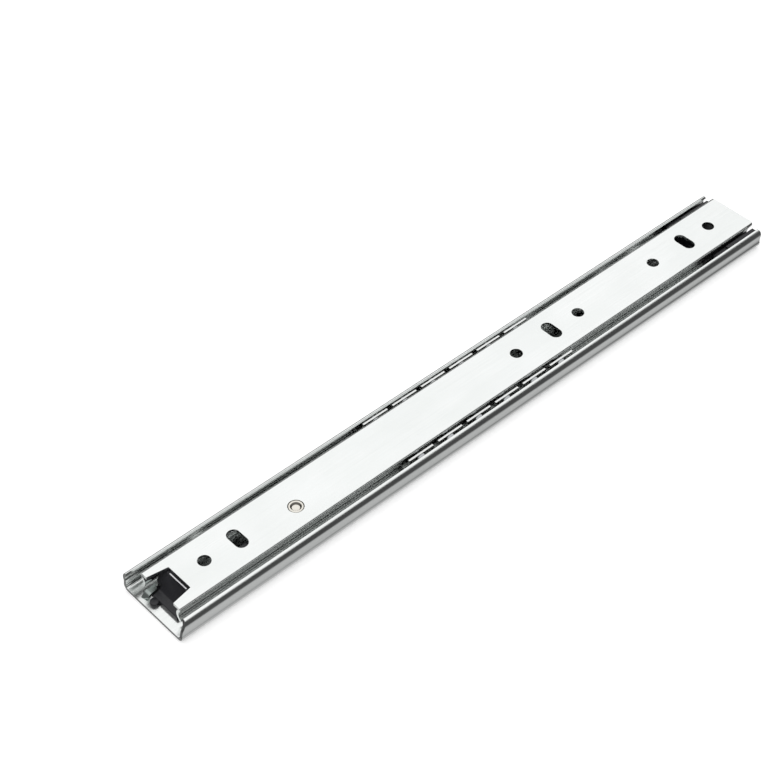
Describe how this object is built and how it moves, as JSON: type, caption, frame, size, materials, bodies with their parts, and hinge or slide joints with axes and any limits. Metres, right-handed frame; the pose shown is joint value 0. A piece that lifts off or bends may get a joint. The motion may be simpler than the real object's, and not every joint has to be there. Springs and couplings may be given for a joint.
{
  "type": "cabinet drawer slide",
  "caption": "Two-section ball-bearing drawer slide: C-shaped cabinet rail, sliding drawer rail on a ball retainer, plastic stops and a release lever, shown closed.",
  "frame": {"origin": "centre of the slide's outline, on the cabinet member's back face", "axes": "+X to the front, the way the drawer pulls out; +Z from the cabinet wall to the drawer; +Y across the slide"},
  "size_m": [0.278, 0.0294, 0.0095],
  "materials": {
    "zinc_plated_steel": "bright zinc plated, rolled sheet",
    "retainer_steel": "zinc plated strip",
    "ball_steel": "polished",
    "rivet_steel": "warm nickel plated",
    "lever_plastic": "moulded, satin",
    "bumper_plastic": "moulded, satin"
  },
  "bodies": {
    "cabinet_member": {"outer_rail": "zinc_plated_steel", "rear_bumper": "bumper_plastic", "front_bumper": "bumper_plastic"},
    "drawer_member": {"inner_rail": "zinc_plated_steel", "lever_rivet": "rivet_steel"},
    "lever": {"release_lever": "lever_plastic"},
    "retainer": {"ball_retainer": "retainer_steel"},
    "ball_left_1": {"ball_left_1": "ball_steel"},
    "ball_left_2": {"ball_left_2": "ball_steel"},
    "ball_left_3": {"ball_left_3": "ball_steel"},
    "ball_left_4": {"ball_left_4": "ball_steel"},
    "ball_left_5": {"ball_left_5": "ball_steel"},
    "ball_left_6": {"ball_left_6": "ball_steel"},
    "ball_right_1": {"ball_right_1": "ball_steel"},
    "ball_right_2": {"ball_right_2": "ball_steel"},
    "ball_right_3": {"ball_right_3": "ball_steel"},
    "ball_right_4": {"ball_right_4": "ball_steel"},
    "ball_right_5": {"ball_right_5": "ball_steel"},
    "ball_right_6": {"ball_right_6": "ball_steel"}
  },
  "joints": [
    {"name": "drawer_slide", "type": "slide", "parent": "cabinet_member", "child": "drawer_member", "axis": [1, 0, 0], "range_m": [0, 0.154]},
    {"name": "retainer_slide", "type": "slide", "parent": "cabinet_member", "child": "retainer", "axis": [1, 0, 0], "range_m": [0, 0.077]},
    {"name": "lever_pivot", "type": "hinge", "parent": "drawer_member", "child": "lever", "pos_m": [-0.0819, -0.0021, 0.0062], "axis": [0, 0, 1], "range_deg": [0, 3.5], "stiffness_Nm_per_rad": 0.05},
    {"name": "ball_left_1_roll", "type": "hinge", "parent": "retainer", "child": "ball_left_1", "pos_m": [-0.03503, 0.01125, 0.00575], "axis": [0, 0, 1], "continuous": true},
    {"name": "ball_left_2_roll", "type": "hinge", "parent": "retainer", "child": "ball_left_2", "pos_m": [-0.02152, 0.01125, 0.00575], "axis": [0, 0, 1], "continuous": true},
    {"name": "ball_left_3_roll", "type": "hinge", "parent": "retainer", "child": "ball_left_3", "pos_m": [-0.00802, 0.01125, 0.00575], "axis": [0, 0, 1], "continuous": true},
    {"name": "ball_left_4_roll", "type": "hinge", "parent": "retainer", "child": "ball_left_4", "pos_m": [0.00547, 0.01125, 0.00575], "axis": [0, 0, 1], "continuous": true},
    {"name": "ball_left_5_roll", "type": "hinge", "parent": "retainer", "child": "ball_left_5", "pos_m": [0.01897, 0.01125, 0.00575], "axis": [0, 0, 1], "continuous": true},
    {"name": "ball_left_6_roll", "type": "hinge", "parent": "retainer", "child": "ball_left_6", "pos_m": [0.03247, 0.01125, 0.00575], "axis": [0, 0, 1], "continuous": true},
    {"name": "ball_right_1_roll", "type": "hinge", "parent": "retainer", "child": "ball_right_1", "pos_m": [-0.03503, -0.01125, 0.00575], "axis": [0, 0, 1], "continuous": true},
    {"name": "ball_right_2_roll", "type": "hinge", "parent": "retainer", "child": "ball_right_2", "pos_m": [-0.02152, -0.01125, 0.00575], "axis": [0, 0, 1], "continuous": true},
    {"name": "ball_right_3_roll", "type": "hinge", "parent": "retainer", "child": "ball_right_3", "pos_m": [-0.00802, -0.01125, 0.00575], "axis": [0, 0, 1], "continuous": true},
    {"name": "ball_right_4_roll", "type": "hinge", "parent": "retainer", "child": "ball_right_4", "pos_m": [0.00547, -0.01125, 0.00575], "axis": [0, 0, 1], "continuous": true},
    {"name": "ball_right_5_roll", "type": "hinge", "parent": "retainer", "child": "ball_right_5", "pos_m": [0.01897, -0.01125, 0.00575], "axis": [0, 0, 1], "continuous": true},
    {"name": "ball_right_6_roll", "type": "hinge", "parent": "retainer", "child": "ball_right_6", "pos_m": [0.03247, -0.01125, 0.00575], "axis": [0, 0, 1], "continuous": true}
  ],
  "couplings": [
    {"joint": "retainer_slide", "follows": "drawer_slide", "ratio": 0.5}
  ]
}
